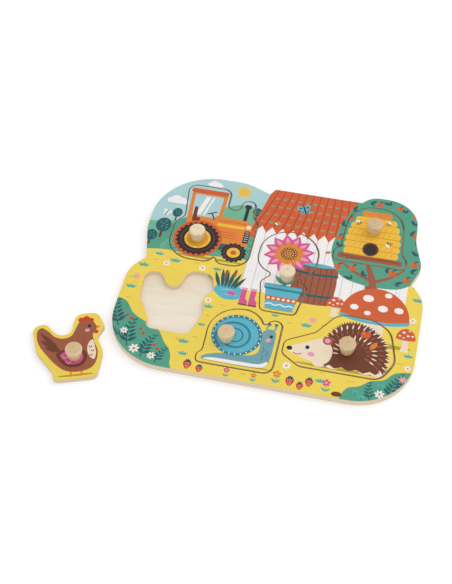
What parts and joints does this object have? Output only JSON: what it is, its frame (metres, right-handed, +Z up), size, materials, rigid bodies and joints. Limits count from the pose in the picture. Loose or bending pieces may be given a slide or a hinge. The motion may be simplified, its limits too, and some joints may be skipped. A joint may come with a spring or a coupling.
{
  "type": "knobbed inset puzzle",
  "caption": "Wooden inset puzzle: a printed plywood board with figure-shaped recesses, and lift-out figures that each carry a turned wooden knob.",
  "frame": {"origin": "middle of the board's underside, on the table", "axes": "+Z up out of the printed face, +X along the board's straight front edge to the right, +Y to its back edge"},
  "size_m": [0.3651, 0.2984, 0.0225],
  "materials": {
    "bare_ply": "bare sanded plywood",
    "meadow_print": "matt printed plywood",
    "hen_print": "matt printed plywood",
    "snail_print": "matt printed plywood",
    "hedgehog_print": "matt printed plywood",
    "tractor_print": "matt printed plywood",
    "flower_print": "matt printed plywood",
    "hive_print": "matt printed plywood",
    "knob_wood": "turned bare wood",
    "screw_steel": "zinc-plated steel"
  },
  "bodies": {
    "board": {"base_plate": "bare_ply", "frame_plate": "meadow_print"},
    "hen": {"hen_piece": "hen_print", "hen_knob": "knob_wood", "hen_screw": "screw_steel"},
    "snail": {"snail_piece": "snail_print", "snail_knob": "knob_wood", "snail_screw": "screw_steel"},
    "hedgehog": {"hedgehog_piece": "hedgehog_print", "hedgehog_knob": "knob_wood", "hedgehog_screw": "screw_steel"},
    "tractor": {"tractor_piece": "tractor_print", "tractor_knob": "knob_wood", "tractor_screw": "screw_steel"},
    "flower": {"flower_piece": "flower_print", "flower_knob": "knob_wood", "flower_screw": "screw_steel"},
    "hive": {"hive_piece": "hive_print", "hive_knob": "knob_wood", "hive_screw": "screw_steel"}
  },
  "joints": [
    {"name": "hen_lift", "type": "slide", "parent": "board", "child": "hen", "axis": [0, 0, 1], "range_m": [0, 0.04]},
    {"name": "snail_lift", "type": "slide", "parent": "board", "child": "snail", "axis": [0, 0, 1], "range_m": [0, 0.04]},
    {"name": "hedgehog_lift", "type": "slide", "parent": "board", "child": "hedgehog", "axis": [0, 0, 1], "range_m": [0, 0.04]},
    {"name": "tractor_lift", "type": "slide", "parent": "board", "child": "tractor", "axis": [0, 0, 1], "range_m": [0, 0.04]},
    {"name": "flower_lift", "type": "slide", "parent": "board", "child": "flower", "axis": [0, 0, 1], "range_m": [0, 0.04]},
    {"name": "hive_lift", "type": "slide", "parent": "board", "child": "hive", "axis": [0, 0, 1], "range_m": [0, 0.04]}
  ]
}
